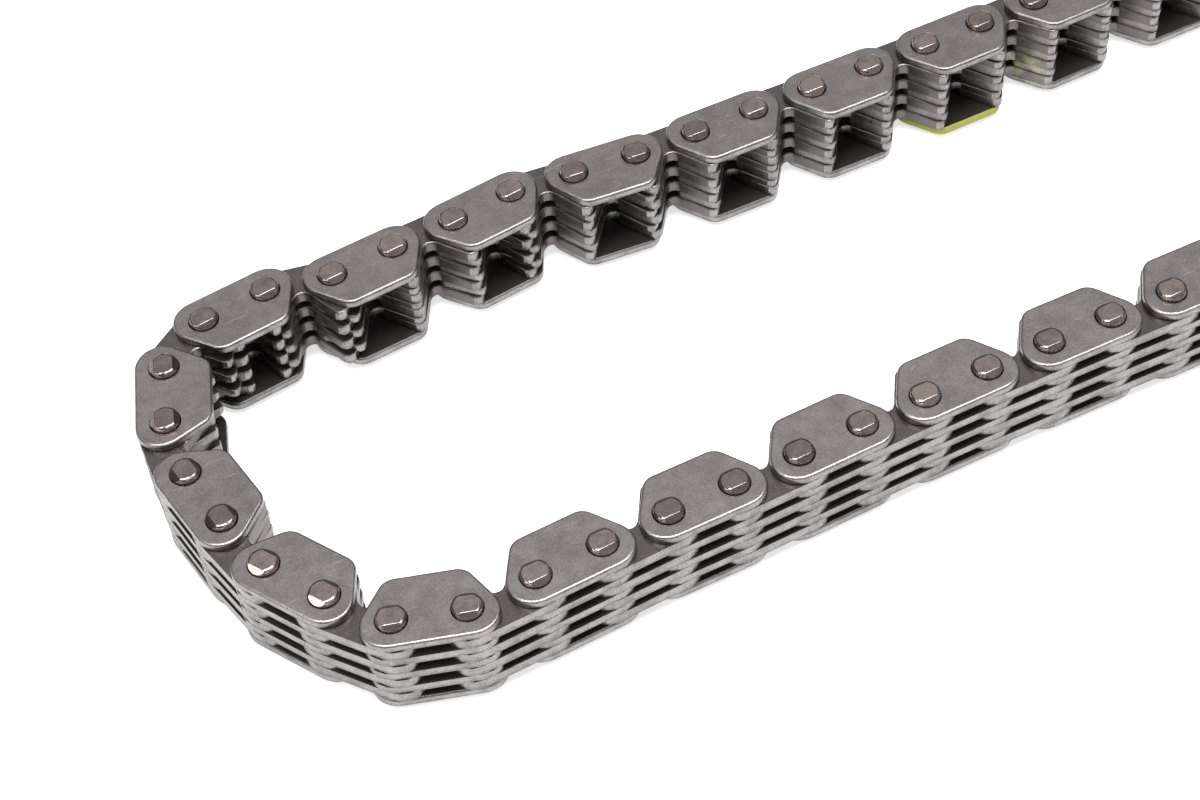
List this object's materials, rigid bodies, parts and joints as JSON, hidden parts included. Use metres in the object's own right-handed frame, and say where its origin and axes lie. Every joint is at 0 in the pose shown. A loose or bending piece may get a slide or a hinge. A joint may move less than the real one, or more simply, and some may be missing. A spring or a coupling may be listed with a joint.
{
  "type": "timing chain",
  "caption": "Endless inverted tooth timing chain: guide links with standing pins alternate with inner toothed links, teeth facing the inside of the loop.",
  "frame": {"origin": "under the middle of the loop, on the surface that the lower pin ends stand on", "axes": "+Z along the pins, upwards as the chain lies on its side; +X along the loop's two runs, away from the near end; +Y to the run with the timing mark"},
  "size_m": [0.196, 0.0608, 0.0127],
  "materials": {
    "guide_plate_steel": "tumbled, satin grey, bright stamped edges",
    "toothed_plate_steel": "tumbled, satin grey, bright stamped edges",
    "pin_steel": "hardened, faintly bronze",
    "timing_mark_plate": "brushed-on yellow-green paint over steel"
  },
  "bodies": {
    "marked_link": {"marked_link_lower_guide_plate": "timing_mark_plate", "marked_link_upper_guide_plate": "guide_plate_steel", "marked_link_toothed_plates": "toothed_plate_steel", "marked_link_trailing_pin": "pin_steel", "marked_link_leading_pin": "pin_steel"},
    "inner_link_01": {"inner_link_01": "toothed_plate_steel"},
    "guide_link_02": {"guide_link_02": "guide_plate_steel"},
    "inner_link_02": {"inner_link_02": "toothed_plate_steel"},
    "guide_link_03": {"guide_link_03": "guide_plate_steel"},
    "inner_link_03": {"inner_link_03": "toothed_plate_steel"},
    "guide_link_04": {"guide_link_04": "guide_plate_steel"},
    "inner_link_04": {"inner_link_04": "toothed_plate_steel"},
    "guide_link_05": {"guide_link_05": "guide_plate_steel"},
    "inner_link_05": {"inner_link_05": "toothed_plate_steel"},
    "guide_link_06": {"guide_link_06": "guide_plate_steel"},
    "inner_link_06": {"inner_link_06": "toothed_plate_steel"},
    "guide_link_07": {"guide_link_07": "guide_plate_steel"},
    "inner_link_07": {"inner_link_07": "toothed_plate_steel"},
    "guide_link_08": {"guide_link_08": "guide_plate_steel"},
    "inner_link_08": {"inner_link_08": "toothed_plate_steel"},
    "guide_link_09": {"guide_link_09": "guide_plate_steel"},
    "inner_link_09": {"inner_link_09": "toothed_plate_steel"},
    "guide_link_10": {"guide_link_10": "guide_plate_steel"},
    "inner_link_10": {"inner_link_10": "toothed_plate_steel"},
    "guide_link_11": {"guide_link_11": "guide_plate_steel"},
    "inner_link_11": {"inner_link_11": "toothed_plate_steel"},
    "guide_link_12": {"guide_link_12": "guide_plate_steel"},
    "inner_link_12": {"inner_link_12": "toothed_plate_steel"},
    "guide_link_13": {"guide_link_13": "guide_plate_steel"},
    "inner_link_13": {"inner_link_13": "toothed_plate_steel"},
    "guide_link_14": {"guide_link_14": "guide_plate_steel"},
    "inner_link_14": {"inner_link_14": "toothed_plate_steel"},
    "guide_link_15": {"guide_link_15": "guide_plate_steel"},
    "inner_link_15": {"inner_link_15": "toothed_plate_steel"},
    "guide_link_16": {"guide_link_16": "guide_plate_steel"},
    "inner_link_16": {"inner_link_16": "toothed_plate_steel"},
    "guide_link_17": {"guide_link_17": "guide_plate_steel"},
    "inner_link_17": {"inner_link_17": "toothed_plate_steel"},
    "guide_link_18": {"guide_link_18": "guide_plate_steel"},
    "inner_link_18": {"inner_link_18": "toothed_plate_steel"},
    "guide_link_19": {"guide_link_19": "guide_plate_steel"},
    "inner_link_19": {"inner_link_19": "toothed_plate_steel"},
    "guide_link_20": {"guide_link_20": "guide_plate_steel"},
    "inner_link_20": {"inner_link_20": "toothed_plate_steel"},
    "guide_link_21": {"guide_link_21": "guide_plate_steel"},
    "inner_link_21": {"inner_link_21": "toothed_plate_steel"},
    "guide_link_22": {"guide_link_22": "guide_plate_steel"},
    "inner_link_22": {"inner_link_22": "toothed_plate_steel"},
    "guide_link_23": {"guide_link_23": "guide_plate_steel"},
    "inner_link_23": {"inner_link_23": "toothed_plate_steel"},
    "guide_link_24": {"guide_link_24": "guide_plate_steel"},
    "inner_link_24": {"inner_link_24": "toothed_plate_steel"},
    "guide_link_25": {"guide_link_25": "guide_plate_steel"},
    "inner_link_25": {"inner_link_25": "toothed_plate_steel"},
    "guide_link_26": {"guide_link_26": "guide_plate_steel"},
    "inner_link_26": {"inner_link_26": "toothed_plate_steel"},
    "guide_link_27": {"guide_link_27": "guide_plate_steel"},
    "inner_link_27": {"inner_link_27": "toothed_plate_steel"},
    "guide_link_28": {"guide_link_28": "guide_plate_steel"},
    "inner_link_28": {"inner_link_28": "toothed_plate_steel"}
  },
  "joints": [
    {"name": "pin_18_bend", "type": "hinge", "parent": "guide_link_09", "child": "inner_link_09", "pos_m": [-0.09324, -0.00203, 0.00635], "axis": [0, 0, 1], "range_deg": [-20, 20]},
    {"name": "pin_19_bend", "type": "hinge", "parent": "inner_link_09", "child": "guide_link_10", "pos_m": [-0.09145, -0.00983, 0.00635], "axis": [0, 0, 1], "range_deg": [-20, 20]},
    {"name": "pin_20_bend", "type": "hinge", "parent": "guide_link_10", "child": "inner_link_10", "pos_m": [-0.08733, -0.01668, 0.00635], "axis": [0, 0, 1], "range_deg": [-20, 20]},
    {"name": "pin_21_bend", "type": "hinge", "parent": "inner_link_10", "child": "guide_link_11", "pos_m": [-0.0824, -0.02299, 0.00635], "axis": [0, 0, 1], "range_deg": [-20, 6]},
    {"name": "pin_22_bend", "type": "hinge", "parent": "guide_link_11", "child": "inner_link_11", "pos_m": [-0.07479, -0.02546, 0.00635], "axis": [0, 0, 1], "range_deg": [-6, 20]},
    {"name": "pin_23_bend", "type": "hinge", "parent": "inner_link_11", "child": "guide_link_12", "pos_m": [-0.0668, -0.02518, 0.00635], "axis": [0, 0, 1], "range_deg": [-20, 20]},
    {"name": "pin_24_bend", "type": "hinge", "parent": "guide_link_12", "child": "inner_link_12", "pos_m": [-0.0588, -0.0249, 0.00635], "axis": [0, 0, 1], "range_deg": [-20, 20]},
    {"name": "pin_25_bend", "type": "hinge", "parent": "inner_link_12", "child": "guide_link_13", "pos_m": [-0.05081, -0.02462, 0.00635], "axis": [0, 0, 1], "range_deg": [-18, 20]},
    {"name": "pin_26_bend", "type": "hinge", "parent": "guide_link_13", "child": "inner_link_13", "pos_m": [-0.04281, -0.02462, 0.00635], "axis": [0, 0, 1], "range_deg": [-20, 18]},
    {"name": "pin_27_bend", "type": "hinge", "parent": "inner_link_13", "child": "guide_link_14", "pos_m": [-0.03481, -0.02448, 0.00635], "axis": [0, 0, 1], "range_deg": [-20, 20]},
    {"name": "pin_28_bend", "type": "hinge", "parent": "guide_link_14", "child": "inner_link_14", "pos_m": [-0.02681, -0.02434, 0.00635], "axis": [0, 0, 1], "range_deg": [-20, 20]},
    {"name": "pin_29_bend", "type": "hinge", "parent": "inner_link_14", "child": "guide_link_15", "pos_m": [-0.01881, -0.0242, 0.00635], "axis": [0, 0, 1], "range_deg": [-19, 19]},
    {"name": "pin_30_bend", "type": "hinge", "parent": "guide_link_15", "child": "inner_link_15", "pos_m": [-0.01081, -0.0242, 0.00635], "axis": [0, 0, 1], "range_deg": [-19, 19]},
    {"name": "pin_31_bend", "type": "hinge", "parent": "inner_link_15", "child": "guide_link_16", "pos_m": [-0.00281, -0.02434, 0.00635], "axis": [0, 0, 1], "range_deg": [-20, 19]},
    {"name": "pin_32_bend", "type": "hinge", "parent": "guide_link_16", "child": "inner_link_16", "pos_m": [0.00519, -0.02448, 0.00635], "axis": [0, 0, 1], "range_deg": [-19, 20]},
    {"name": "pin_33_bend", "type": "hinge", "parent": "inner_link_16", "child": "guide_link_17", "pos_m": [0.01318, -0.02476, 0.00635], "axis": [0, 0, 1], "range_deg": [-20, 19]},
    {"name": "pin_34_bend", "type": "hinge", "parent": "guide_link_17", "child": "inner_link_17", "pos_m": [0.02118, -0.0249, 0.00635], "axis": [0, 0, 1], "range_deg": [-19, 20]},
    {"name": "pin_35_bend", "type": "hinge", "parent": "inner_link_17", "child": "guide_link_18", "pos_m": [0.02918, -0.02518, 0.00635], "axis": [0, 0, 1], "range_deg": [-16, 19]},
    {"name": "pin_36_bend", "type": "hinge", "parent": "guide_link_18", "child": "inner_link_18", "pos_m": [0.03713, -0.02602, 0.00635], "axis": [0, 0, 1], "range_deg": [-19, 16]},
    {"name": "pin_37_bend", "type": "hinge", "parent": "inner_link_18", "child": "guide_link_19", "pos_m": [0.04507, -0.02699, 0.00635], "axis": [0, 0, 1], "range_deg": [-20, 17]},
    {"name": "pin_38_bend", "type": "hinge", "parent": "guide_link_19", "child": "inner_link_19", "pos_m": [0.05303, -0.02615, 0.00635], "axis": [0, 0, 1], "range_deg": [-17, 20]},
    {"name": "pin_39_bend", "type": "hinge", "parent": "inner_link_19", "child": "guide_link_20", "pos_m": [0.06102, -0.02574, 0.00635], "axis": [0, 0, 1], "range_deg": [-20, 4]},
    {"name": "pin_40_bend", "type": "hinge", "parent": "guide_link_20", "child": "inner_link_20", "pos_m": [0.069, -0.02518, 0.00635], "axis": [0, 0, 1], "range_deg": [-4, 20]},
    {"name": "pin_41_bend", "type": "hinge", "parent": "inner_link_20", "child": "guide_link_21", "pos_m": [0.07682, -0.02684, 0.00635], "axis": [0, 0, 1], "range_deg": [-11, 20]},
    {"name": "pin_42_bend", "type": "hinge", "parent": "guide_link_21", "child": "inner_link_21", "pos_m": [0.08478, -0.026, 0.00635], "axis": [0, 0, 1], "range_deg": [-20, 11]},
    {"name": "pin_43_bend", "type": "hinge", "parent": "inner_link_21", "child": "guide_link_22", "pos_m": [0.09133, -0.02142, 0.00635], "axis": [0, 0, 1], "range_deg": [-20, 4]},
    {"name": "pin_44_bend", "type": "hinge", "parent": "guide_link_22", "child": "inner_link_22", "pos_m": [0.09394, -0.01385, 0.00635], "axis": [0, 0, 1], "range_deg": [-4, 20]},
    {"name": "pin_17_bend", "type": "hinge", "parent": "guide_link_09", "child": "inner_link_08", "pos_m": [-0.0945, 0.00587, 0.00635], "axis": [0, 0, -1], "range_deg": [-20, 20]},
    {"name": "pin_16_bend", "type": "hinge", "parent": "inner_link_08", "child": "guide_link_08", "pos_m": [-0.09394, 0.01385, 0.00635], "axis": [0, 0, -1], "range_deg": [-4, 20]},
    {"name": "pin_15_bend", "type": "hinge", "parent": "guide_link_08", "child": "inner_link_07", "pos_m": [-0.09133, 0.02142, 0.00635], "axis": [0, 0, -1], "range_deg": [-20, 4]},
    {"name": "pin_14_bend", "type": "hinge", "parent": "inner_link_07", "child": "guide_link_07", "pos_m": [-0.08478, 0.026, 0.00635], "axis": [0, 0, -1], "range_deg": [-20, 11]},
    {"name": "pin_13_bend", "type": "hinge", "parent": "guide_link_07", "child": "inner_link_06", "pos_m": [-0.07682, 0.02684, 0.00635], "axis": [0, 0, -1], "range_deg": [-11, 20]},
    {"name": "pin_12_bend", "type": "hinge", "parent": "inner_link_06", "child": "guide_link_06", "pos_m": [-0.069, 0.02518, 0.00635], "axis": [0, 0, -1], "range_deg": [-4, 20]},
    {"name": "pin_11_bend", "type": "hinge", "parent": "guide_link_06", "child": "inner_link_05", "pos_m": [-0.06102, 0.02574, 0.00635], "axis": [0, 0, -1], "range_deg": [-20, 4]},
    {"name": "pin_10_bend", "type": "hinge", "parent": "inner_link_05", "child": "guide_link_05", "pos_m": [-0.05303, 0.02615, 0.00635], "axis": [0, 0, -1], "range_deg": [-17, 20]},
    {"name": "pin_09_bend", "type": "hinge", "parent": "guide_link_05", "child": "inner_link_04", "pos_m": [-0.04507, 0.02699, 0.00635], "axis": [0, 0, -1], "range_deg": [-20, 17]},
    {"name": "pin_08_bend", "type": "hinge", "parent": "inner_link_04", "child": "guide_link_04", "pos_m": [-0.03713, 0.02602, 0.00635], "axis": [0, 0, -1], "range_deg": [-19, 16]},
    {"name": "pin_07_bend", "type": "hinge", "parent": "guide_link_04", "child": "inner_link_03", "pos_m": [-0.02918, 0.02518, 0.00635], "axis": [0, 0, -1], "range_deg": [-16, 19]},
    {"name": "pin_06_bend", "type": "hinge", "parent": "inner_link_03", "child": "guide_link_03", "pos_m": [-0.02118, 0.0249, 0.00635], "axis": [0, 0, -1], "range_deg": [-19, 20]},
    {"name": "pin_05_bend", "type": "hinge", "parent": "guide_link_03", "child": "inner_link_02", "pos_m": [-0.01318, 0.02476, 0.00635], "axis": [0, 0, -1], "range_deg": [-20, 19]},
    {"name": "pin_04_bend", "type": "hinge", "parent": "inner_link_02", "child": "guide_link_02", "pos_m": [-0.00519, 0.02448, 0.00635], "axis": [0, 0, -1], "range_deg": [-19, 20]},
    {"name": "pin_03_bend", "type": "hinge", "parent": "guide_link_02", "child": "inner_link_01", "pos_m": [0.00281, 0.02434, 0.00635], "axis": [0, 0, -1], "range_deg": [-20, 19]},
    {"name": "pin_02_bend", "type": "hinge", "parent": "inner_link_01", "child": "marked_link", "pos_m": [0.01081, 0.0242, 0.00635], "axis": [0, 0, -1], "range_deg": [-19, 19]},
    {"name": "pin_01_bend", "type": "hinge", "parent": "marked_link", "child": "inner_link_28", "pos_m": [0.01881, 0.0242, 0.00635], "axis": [0, 0, -1], "range_deg": [-19, 19]},
    {"name": "pin_56_bend", "type": "hinge", "parent": "inner_link_28", "child": "guide_link_28", "pos_m": [0.02681, 0.02434, 0.00635], "axis": [0, 0, -1], "range_deg": [-20, 20]},
    {"name": "pin_55_bend", "type": "hinge", "parent": "guide_link_28", "child": "inner_link_27", "pos_m": [0.03481, 0.02448, 0.00635], "axis": [0, 0, -1], "range_deg": [-20, 20]},
    {"name": "pin_54_bend", "type": "hinge", "parent": "inner_link_27", "child": "guide_link_27", "pos_m": [0.04281, 0.02462, 0.00635], "axis": [0, 0, -1], "range_deg": [-20, 18]},
    {"name": "pin_53_bend", "type": "hinge", "parent": "guide_link_27", "child": "inner_link_26", "pos_m": [0.05081, 0.02462, 0.00635], "axis": [0, 0, -1], "range_deg": [-18, 20]},
    {"name": "pin_52_bend", "type": "hinge", "parent": "inner_link_26", "child": "guide_link_26", "pos_m": [0.0588, 0.0249, 0.00635], "axis": [0, 0, -1], "range_deg": [-20, 20]},
    {"name": "pin_51_bend", "type": "hinge", "parent": "guide_link_26", "child": "inner_link_25", "pos_m": [0.0668, 0.02518, 0.00635], "axis": [0, 0, -1], "range_deg": [-20, 20]},
    {"name": "pin_50_bend", "type": "hinge", "parent": "inner_link_25", "child": "guide_link_25", "pos_m": [0.07479, 0.02546, 0.00635], "axis": [0, 0, -1], "range_deg": [-6, 20]},
    {"name": "pin_49_bend", "type": "hinge", "parent": "guide_link_25", "child": "inner_link_24", "pos_m": [0.0824, 0.02299, 0.00635], "axis": [0, 0, -1], "range_deg": [-20, 6]},
    {"name": "pin_48_bend", "type": "hinge", "parent": "inner_link_24", "child": "guide_link_24", "pos_m": [0.08733, 0.01668, 0.00635], "axis": [0, 0, -1], "range_deg": [-20, 20]},
    {"name": "pin_47_bend", "type": "hinge", "parent": "guide_link_24", "child": "inner_link_23", "pos_m": [0.09145, 0.00983, 0.00635], "axis": [0, 0, -1], "range_deg": [-20, 20]},
    {"name": "pin_46_bend", "type": "hinge", "parent": "inner_link_23", "child": "guide_link_23", "pos_m": [0.09324, 0.00203, 0.00635], "axis": [0, 0, -1], "range_deg": [-20, 20]}
  ],
  "couplings": [
    {"joint": "pin_02_bend", "follows": "pin_01_bend", "ratio": -1},
    {"joint": "pin_29_bend", "follows": "pin_01_bend", "ratio": 1},
    {"joint": "pin_30_bend", "follows": "pin_01_bend", "ratio": -1},
    {"joint": "pin_04_bend", "follows": "pin_03_bend", "ratio": -1},
    {"joint": "pin_31_bend", "follows": "pin_03_bend", "ratio": 1},
    {"joint": "pin_32_bend", "follows": "pin_03_bend", "ratio": -1},
    {"joint": "pin_05_bend", "follows": "pin_34_bend", "ratio": -1},
    {"joint": "pin_06_bend", "follows": "pin_34_bend", "ratio": 1},
    {"joint": "pin_33_bend", "follows": "pin_34_bend", "ratio": -1},
    {"joint": "pin_07_bend", "follows": "pin_36_bend", "ratio": -1},
    {"joint": "pin_08_bend", "follows": "pin_36_bend", "ratio": 1},
    {"joint": "pin_35_bend", "follows": "pin_36_bend", "ratio": -1},
    {"joint": "pin_09_bend", "follows": "pin_38_bend", "ratio": -1},
    {"joint": "pin_10_bend", "follows": "pin_38_bend", "ratio": 1},
    {"joint": "pin_37_bend", "follows": "pin_38_bend", "ratio": -1},
    {"joint": "pin_11_bend", "follows": "pin_40_bend", "ratio": -1},
    {"joint": "pin_12_bend", "follows": "pin_40_bend", "ratio": 1},
    {"joint": "pin_39_bend", "follows": "pin_40_bend", "ratio": -1},
    {"joint": "pin_13_bend", "follows": "pin_42_bend", "ratio": -1},
    {"joint": "pin_14_bend", "follows": "pin_42_bend", "ratio": 1},
    {"joint": "pin_41_bend", "follows": "pin_42_bend", "ratio": -1},
    {"joint": "pin_15_bend", "follows": "pin_44_bend", "ratio": -1},
    {"joint": "pin_16_bend", "follows": "pin_44_bend", "ratio": 1},
    {"joint": "pin_43_bend", "follows": "pin_44_bend", "ratio": -1},
    {"joint": "pin_17_bend", "follows": "pin_46_bend", "ratio": -1},
    {"joint": "pin_18_bend", "follows": "pin_46_bend", "ratio": 1},
    {"joint": "pin_19_bend", "follows": "pin_47_bend", "ratio": 1},
    {"joint": "pin_20_bend", "follows": "pin_47_bend", "ratio": -1},
    {"joint": "pin_48_bend", "follows": "pin_47_bend", "ratio": -1},
    {"joint": "pin_21_bend", "follows": "pin_49_bend", "ratio": 1},
    {"joint": "pin_22_bend", "follows": "pin_49_bend", "ratio": -1},
    {"joint": "pin_50_bend", "follows": "pin_49_bend", "ratio": -1},
    {"joint": "pin_23_bend", "follows": "pin_51_bend", "ratio": 1},
    {"joint": "pin_24_bend", "follows": "pin_51_bend", "ratio": -1},
    {"joint": "pin_52_bend", "follows": "pin_51_bend", "ratio": -1},
    {"joint": "pin_25_bend", "follows": "pin_53_bend", "ratio": 1},
    {"joint": "pin_26_bend", "follows": "pin_53_bend", "ratio": -1},
    {"joint": "pin_54_bend", "follows": "pin_53_bend", "ratio": -1},
    {"joint": "pin_27_bend", "follows": "pin_55_bend", "ratio": 1},
    {"joint": "pin_28_bend", "follows": "pin_55_bend", "ratio": -1},
    {"joint": "pin_56_bend", "follows": "pin_55_bend", "ratio": -1}
  ]
}
